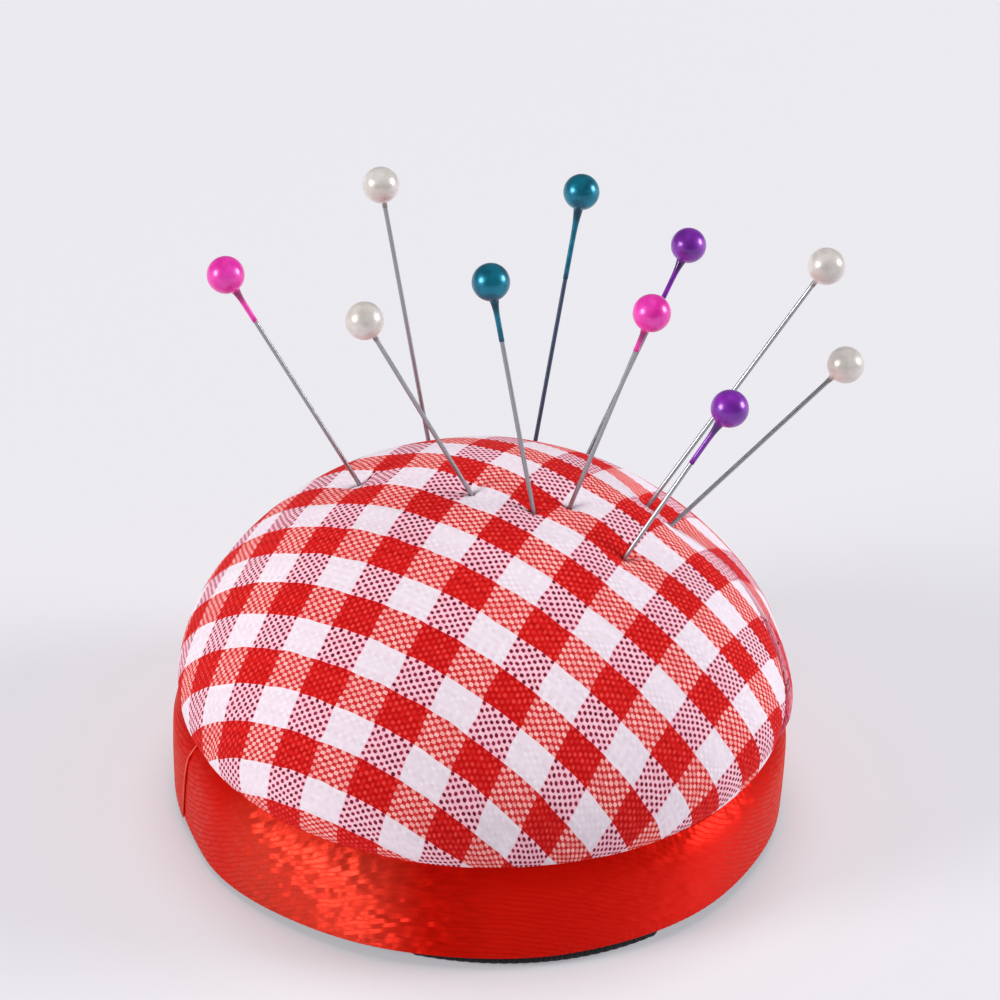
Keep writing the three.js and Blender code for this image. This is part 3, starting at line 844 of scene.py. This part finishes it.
def frayed_threads(cover):
    """Short ends of yarn that stick out of the pleat."""
    chance = np.random.default_rng(FRAY_SEED)
    surface = np.array([v.co for v in cover.data.vertices])
    around = np.degrees(np.arctan2(surface[:, 1], surface[:, 0]))
    reach = np.hypot(surface[:, 0], surface[:, 1])
    sides, rings = 6, 9
    turn = np.linspace(0, 2 * pi, sides, endpoint=False)
    vertices, faces, places = [], [], []
    for end in range(FRAY_COUNT):
        height = RIBBON_TOP + chance.uniform(*FRAY_HEIGHTS) * MM
        azimuth = FOLD_AZIMUTH + FOLD_SLANT * (height - FOLD_HEIGHT) / MM + chance.uniform(*FRAY_SPREAD)
        off = np.abs(around - azimuth) * FRAY_DEGREE + np.abs(surface[:, 2] - height)
        near = np.argmin(off - 0.2 * reach)
        a = radians(azimuth)
        out = np.array([cos(a), sin(a), 0.0])
        side = np.array([-sin(a), cos(a), 0.0])
        root = out * (reach[near] - FRAY_ROOT) + np.array([0, 0, height])
        length = chance.uniform(*FRAY_LENGTHS) * MM
        lean, lift = chance.uniform(-0.7, 0.7), chance.uniform(-1, 1)
        share = np.linspace(0, 1, rings)
        path = root + length * (
            np.outer(share * (0.5 - 0.35 * share), out) + np.outer(lean * share, side)
            + np.outer(lift * share**1.5, [0, 0, 1])
        )
        thick = FRAY_RADIUS * (1 - 0.5 * share)
        along = unit(np.gradient(path, axis=0))
        first = unit(np.cross(along, side + 0.3 * out))
        second = np.cross(along, first)
        ring = path[:, None] + thick[:, None, None] * (
            np.cos(turn)[:, None] * first[:, None] + np.sin(turn)[:, None] * second[:, None]
        )
        faces += tube_faces(rings, sides, offset=end * rings * sides)
        vertices.append(ring)
        places.append(np.stack(np.broadcast_arrays(share[:, None] + end, turn), -1))
    return closed_piece("frayed_threads", vertices, faces, frayed_yarn(), places)


def ribbon_section():
    """The ribbon's round-edged section, as heights from 0 to 1 and depths from 0, outside, to 1."""
    face = np.linspace(0.03, 0.97, 14)
    back = np.linspace(0.97, 0.03, 8)
    edge = [(0.985, 0.15), (0.995, 0.5), (0.985, 0.85)]
    outline = [(h, 0.0) for h in face] + edge + [(h, 1.0) for h in back]
    return np.array(outline + [(1 - h, 1 - d) for h, d in edge])


def satin_ribbon():
    section = ribbon_section()
    h, depth = section[:, 0], section[:, 1]
    turn = np.linspace(0, 360 + RIBBON_LAP_ANGLE, RIBBON_STEPS + 1)
    slant = RIBBON_END_SLANT * smooth((turn - RIBBON_SLANT_START) / (turn[-1] - RIBBON_SLANT_START))
    azimuth = np.radians((RIBBON_LAP_END - RIBBON_LAP_ANGLE + turn)[:, None] + np.outer(slant, h))
    sunk = 1 - smooth((turn - RIBBON_LAP_ANGLE - RIBBON_END_SLANT - RIBBON_RISE_START) / RIBBON_RISE_ANGLE)
    middle = azimuth[:, 0]
    wave = RIBBON_WAVE * (np.sin(5 * middle + 1.0) + 0.7 * np.sin(11 * middle))
    height = RIBBON_BOTTOM + (RIBBON_TOP - RIBBON_BOTTOM) * h
    lean = RIBBON_TURN_IN * np.clip((h - RIBBON_TURN_START) / (1 - RIBBON_TURN_START), 0, 1) ** 2
    belly = RIBBON_BELLY * np.sin(pi * h)
    outer = RIBBON_RADIUS - lean + belly - depth * RIBBON_THICKNESS
    loops = np.sin(2 * pi * middle * RIBBON_RADIUS / MM / SELVEDGE_PITCH)
    at_edge = np.clip((np.abs(h - 0.5) - 0.5) / SELVEDGE_SHARE + 1, 0, 1)
    radius = outer + (wave - sunk * (RIBBON_THICKNESS + RIBBON_LAP_GAP))[:, None]
    radius += SELVEDGE_DEPTH * np.outer(loops, at_edge * (1 - depth))
    rise = RIBBON_SWING * np.outer(np.sin(3 * middle + 0.6), h)
    away = (np.degrees(middle) - RIBBON_DROP_AZIMUTH + 180) % 360 - 180
    rise -= RIBBON_DROP * np.outer(bell(away / RIBBON_DROP_ANGLE), 1 - h)
    points = np.stack([radius * np.cos(azimuth), radius * np.sin(azimuth), height + rise], -1)
    along = np.radians(turn) * RIBBON_RADIUS / MM
    places = np.stack(np.broadcast_arrays(along[:, None], height / MM), -1)
    return closed_piece("satin_ribbon_edge", points, tube_faces(*points.shape[:2]), red_satin(), places)


def tube_faces(rings, sides, offset=0):
    """Quads along a tube, and its two ends."""
    last = offset + (rings - 1) * sides
    ends = [tuple(range(offset, offset + sides)), tuple(reversed(range(last, last + sides)))]
    return grid_faces(rings, sides, close_columns=True, offset=offset) + ends


def closed_piece(name, points, faces, material, places):
    """Mesh whose faces point out, with its pattern's map. Points and places may be lists of arrays."""
    maps = {WEAVE: np.reshape(places, (-1, 2))}
    piece = mesh_object(name, np.reshape(points, (-1, 3)), faces, material, maps)
    face_out(piece)
    return piece


def face_out(piece):
    """Drops a mesh's loose points and turns its faces outwards."""
    mesh = bmesh.new()
    mesh.from_mesh(piece.data)
    loose = [v for v in mesh.verts if not v.link_faces]
    bmesh.ops.delete(mesh, geom=loose, context="VERTS")
    bmesh.ops.recalc_face_normals(mesh, faces=mesh.faces)
    mesh.to_mesh(piece.data)
    mesh.free()


def strap_route(end, swell):
    """Places (y, z) and upward normals along the strap's middle, from the front end to the back one."""
    half = STRAP_THICKNESS / 2
    wall = end - half
    bend = np.linspace(0, pi / 2, 7)
    glued = np.linspace(TAB_TOP, STRETCH_TOP, 5)[:-1]
    climb = np.concatenate([glued, np.linspace(STRETCH_TOP, STRAP_THICKNESS, 30)])
    bulge = swell * smooth((STRETCH_TOP - climb) / (STRETCH_TOP - STRAP_THICKNESS))
    front = [(-wall - out, z, 1.0, 0.0) for z, out in zip(climb, bulge)]
    corner = wall + swell - half
    for a in bend[1:]:
        out, up = cos(a), sin(a)
        front.append((-corner - half * out, STRAP_THICKNESS - half * up, out, up))
    run = [(y, half, 0.0, 1.0) for y in np.linspace(-corner, corner, 42)[1:-1]]
    back = [(-y, z, -ny, nz) for y, z, ny, nz in reversed(front)]
    return np.array(front + run + back)


def elastic_strap():
    half_width = STRAP_WIDTH / 2
    across = np.linspace(-1, 1, STRAP_RIBS * 6 + 1)
    rib = STRAP_RIB_DEPTH * (1 - np.abs(np.sin(pi * STRAP_RIBS / 2 * (across + 1))))
    edge = np.clip((1 - np.abs(across)) * half_width / STRAP_EDGE, 0, 1)
    half = (STRAP_THICKNESS / 2 - rib) * np.sqrt(1 - 0.75 * (1 - edge) ** 2)
    layers = []
    for side in (1, -1):
        columns = []
        for x, thick in zip(across * half_width, half):
            drawn_in = ((x - STRAP_BULGE_SHIFT) / (half_width + STRAP_BULGE_SHIFT)) ** 2
            route = strap_route(sqrt(TAB_RADIUS**2 - x**2), STRAP_BULGE * (1 - drawn_in))
            y = route[:, 0] + side * thick * route[:, 2]
            z = route[:, 1] + side * thick * route[:, 3]
            columns.append(np.stack([np.full(len(y), x), y, z], -1))
        layers.append(np.stack(columns, 1))
    ring = np.concatenate([layers[0], layers[1][:, ::-1]], 1)
    middle = strap_route(TAB_RADIUS, STRAP_BULGE)[:, :2]
    run = np.concatenate([[0], np.cumsum(np.hypot(*np.diff(middle, axis=0).T))]) / MM
    width = np.concatenate([across, across[::-1] + 3]) * half_width / MM
    places = np.stack(np.broadcast_arrays(width, run[:, None]), -1)
    return closed_piece("elastic_strap", ring, tube_faces(*ring.shape[:2]), black_elastic(), places)


def lathe(name, outline, sides, place, material):
    """Piece turned about Z from (radius, height) points that start and end on the axis, then put in place."""
    turn = np.linspace(0, 2 * pi, sides, endpoint=False)
    body = outline[1:-1]
    rings = np.array([[(r * cos(t), r * sin(t), z) for t in turn] for r, z in body])
    tips = [(0, 0, outline[0][1]), (0, 0, outline[-1][1])]
    vertices = np.concatenate([rings.reshape(-1, 3), tips])
    last = len(body) * sides
    faces = grid_faces(len(body), sides, close_columns=True)
    faces += [(last, (k + 1) % sides, k) for k in range(sides)]
    top = (len(body) - 1) * sides
    faces += [(top + k, top + (k + 1) % sides, last + 1) for k in range(sides)]
    around = np.concatenate([np.tile(turn, len(body)), [0, 0]])
    places = np.stack([around, vertices[:, 2] / MM], -1)
    piece = closed_piece(name, vertices, faces, material, places)
    piece.data.transform(place)
    return piece


def shaft_outline(length):
    """From the point up into the ball, with a slightly swelling point."""
    share = np.linspace(0, 1, 12)[1:]
    point = [(WIRE_RADIUS * s**0.8, POINT_LENGTH * s) for s in share]
    wire = [(WIRE_RADIUS, z) for z in np.linspace(POINT_LENGTH, length - WIRE_CHAMFER, 12)[1:]]
    return [(0, 0), *point, *wire, (WIRE_RADIUS * 0.6, length), (0, length)]


def head_outline(collar):
    """Lacquer drawn down the wire in a taper, then the ball, whose middle is at 0."""
    end = -BALL_RADIUS - collar
    neck = acos(COLLAR_TOP_RADIUS / BALL_RADIUS)
    low = -BALL_RADIUS * sin(neck)
    flare = COLLAR_TOP_RADIUS - COLLAR_END_RADIUS
    share = np.linspace(0, 1, 14) ** 0.7
    taper = [(COLLAR_END_RADIUS + flare * s**COLLAR_FLARE, end + (low - end) * s) for s in share]
    bore = WIRE_RADIUS + BORE_GAP
    turn = np.linspace(-neck, pi / 2, 30)[1:-1]
    ball = [(BALL_RADIUS * cos(t), BALL_RADIUS * sin(t)) for t in turn]
    inside = [(0, BORE_END), (bore, BORE_END), (bore, end)]
    return [*inside, *taper, *ball, (0, BALL_RADIUS)]


def stood(point, axis):
    """Place of a piece that stands on a point, along an axis."""
    turn = Vector((0, 0, 1)).rotation_difference(Vector(axis)).to_matrix().to_4x4()
    return Matrix.Translation(Vector(point)) @ turn


def fibre_core(pins):
    """Lumpy fibre filling with the ways that the pins have parted in it."""
    low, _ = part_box("stuffing")
    _, radius, height = cushion_outline()
    along = unit(np.gradient(np.stack([radius, height], -1), axis=0))
    radius, height = radius + CORE_INSET * along[:, 1], height - CORE_INSET * along[:, 0]
    bottom = low.z + CORE_GAP
    keep = (height > bottom) & (radius > 0)
    outline = [(0, height[0]), *zip(radius[keep][::10], height[keep][::10])]
    outline += [(outline[-1][0], bottom), (0, bottom)]
    piece = lathe("fibre_stuffing", outline, 96, Matrix.Identity(4), FIBRE)
    cutters = []
    for body, (point, axis, length, _) in pins.items():
        place = stood(point - axis * WAY_DEPTH, axis)
        floor = WAY_DEPTH + (low.z + WAY_FLOOR - point[2]) / axis[2]
        top = WAY_DEPTH + length
        bar = [(0, floor), (WAY_RADIUS, floor), (WAY_RADIUS, top), (0, top)]
        cutters.append(lathe(f"way_{body}", bar, 16, place, FIBRE))
    for cutter in cutters:
        cut = piece.modifiers.new("way", "BOOLEAN")
        cut.object, cut.solver = cutter, "EXACT"
    bpy.context.view_layer.update()
    done = bpy.data.meshes.new_from_object(piece.evaluated_get(bpy.context.evaluated_depsgraph_get()))
    piece.modifiers.clear()
    piece.data = done
    for cutter in cutters:
        bpy.data.objects.remove(cutter)
    return piece


def gather_thread():
    """Two-ply thread in a running stitch round the hem."""
    low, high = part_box("gather_thread")
    thick = (high.z - low.z) / 2
    ply_radius, ply_offset = 0.5 * thick, 0.45 * thick
    ring_radius = high.x - thick
    middle = (low.z + high.z) / 2
    steps, sides, plies, twists = 720, 8, 2, 120
    turn = np.linspace(0, 2 * pi, steps, endpoint=False)
    vertices, faces, places = [], [], []
    for ply in range(plies):
        lay = twists * turn + pi * ply
        r = ring_radius + ply_offset * np.cos(lay)
        z = middle + ply_offset * np.sin(lay)
        around = np.linspace(0, 2 * pi, sides, endpoint=False)
        rr = r[:, None] + ply_radius * np.cos(around)
        zz = z[:, None] + ply_radius * np.sin(around)
        faces += grid_faces(steps, sides, close_rows=True, close_columns=True, offset=ply * steps * sides)
        vertices.append(np.stack([rr * np.cos(turn)[:, None], rr * np.sin(turn)[:, None], zz], -1))
        places.append(np.stack(np.broadcast_arrays(turn[:, None] * 10, around), -1))
    return closed_piece("gathering_thread", vertices, faces, red_thread(), places)


def dress(piece, body, slot, *nodes):
    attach(piece, body)
    if nodes:
        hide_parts(*nodes)
    return piece


def soften(node, width, material):
    """Rounds the edges of a rigid node and gives it its finish."""
    part = frame["nodes"][node]
    part.data.materials.clear()
    part.data.materials.append(material)
    bevel = part.modifiers.new("edges", "BEVEL")
    bevel.width, bevel.segments, bevel.limit_method = width, 2, "ANGLE"
    bevel.angle_limit = radians(40)


def seen_from(azimuth, elevation):
    """Direction from the cushion to a viewer or a lamp at these angles, in degrees."""
    a, e = radians(azimuth), radians(elevation)
    return Vector((sin(a) * cos(e), -cos(a) * cos(e), sin(e)))


def area_lamp(name, azimuth, elevation, distance, size, power, colour):
    """Soft box that faces the cushion."""
    light = bpy.data.lights.new(name, "AREA")
    light.shape, light.size, light.energy, light.color = "DISK", size, power, colour
    lamp = bpy.data.objects.new(name, light)
    away = seen_from(azimuth, elevation)
    lamp.location = LAMP_TARGET + away * distance
    lamp.rotation_mode = "QUATERNION"
    lamp.rotation_quaternion = away.to_track_quat("Z", "Y")
    bpy.context.scene.collection.objects.link(lamp)
    return lamp


def studio():
    """Camera, pale floor and soft light."""
    scene = bpy.context.scene
    scene.view_settings.view_transform = "Standard"
    camera = bpy.data.objects.new("camera", bpy.data.cameras.new("camera"))
    camera.data.lens = VIEW_LENS
    away = seen_from(VIEW_AZIMUTH, VIEW_ELEVATION)
    camera.location = VIEW_TARGET + away * VIEW_DISTANCE
    camera.rotation_mode = "QUATERNION"
    level = (-away).to_track_quat("-Z", "Y")
    camera.rotation_quaternion = level @ Quaternion((0, 0, 1), radians(VIEW_ROLL))
    camera.data.clip_start, camera.data.clip_end = 0.01, 40
    scene.collection.objects.link(camera)
    scene.camera = camera

    sides = [(-1, -1), (1, -1), (1, 1), (-1, 1)]
    corners = [(x * FLOOR_HALF, y * FLOOR_HALF, -FLOOR_DROP) for x, y in sides]
    floor = mesh_object("floor", corners, [(0, 1, 2, 3)], floor_paper())
    floor.parent = frame["bodies"]["strap"]

    world = bpy.data.worlds.new("soft_light")
    world.use_nodes = True
    sky = world.node_tree.nodes["Background"].inputs
    sky["Color"].default_value = (0.9, 0.93, 1.0, 1.0)
    sky["Strength"].default_value = SKY_STRENGTH
    scene.world = world
    area_lamp("key_light", VIEW_AZIMUTH - 66, *SIDE_LAMP, (1.0, 0.98, 0.97))
    area_lamp("fill_light", VIEW_AZIMUTH + 94, *SIDE_LAMP, (0.98, 0.98, 1.0))
    top = area_lamp("top_light", VIEW_AZIMUTH + 180, *TOP_LAMP, (1.0, 1.0, 1.0))
    top.visible_glossy = False


FIBRE = fibre_stuffing()
PINS = pin_lines()
STEEL = steel_wire("steel_wire", rgb(132, 132, 138), rgb(190, 190, 194))
BLUED = steel_wire("steel_wire_dark", rgb(62, 70, 92), rgb(104, 112, 134))
BALLS = {
    "pink": lacquer("pink_ball", rgb(226, 26, 158), rgb(244, 62, 186), 0.15, 0.5),
    "pearl": lacquer("pearl_ball", rgb(204, 195, 188), rgb(226, 220, 214), 0.2, 0.6),
    "teal": lacquer("teal_ball", rgb(0, 98, 124), rgb(0, 126, 152), 0.6, 0.3),
    "purple": lacquer("purple_ball", rgb(104, 18, 148), rgb(140, 34, 180), 0.25, 0.5),
}

studio()

cover = dress(gingham_cover(PINS), "cushion", "gingham_cotton", "cushion_cover")
dress(frayed_threads(cover), "cushion", "gingham_cotton")
core = dress(fibre_core(PINS), "cushion", "fibre_stuffing", "stuffing")
dress(satin_ribbon(), "cushion", "red_satin", "satin_ribbon")
dress(gather_thread(), "cushion", "red_thread", "gather_thread")

strap = elastic_strap()
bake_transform(strap)
STRAP_NODES = [f"strap_{part}_{end}" for part in ("bend", "tab") for end in ("front", "back")]
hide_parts("strap_run", *STRAP_NODES)

soften("base_plate", 0.25 * MM, black_plastic())
soften("card_disc", 0.2 * MM, card())

for body, (point, axis, length, collar) in PINS.items():
    colour = body.split("_")[0]
    wire = BLUED if body == "teal_pin_back" else STEEL
    shaft = lathe(f"{body}_wire", shaft_outline(length), 24, stood(point, axis), wire)
    dress(shaft, body, "steel_wire", f"{body}_shaft")
    middle = stood(point + axis * length, axis)
    ball = lathe(f"{body}_ball", head_outline(collar), 40, middle, BALLS[colour])
    dress(ball, body, f"{colour}_ball", f"{body}_head")
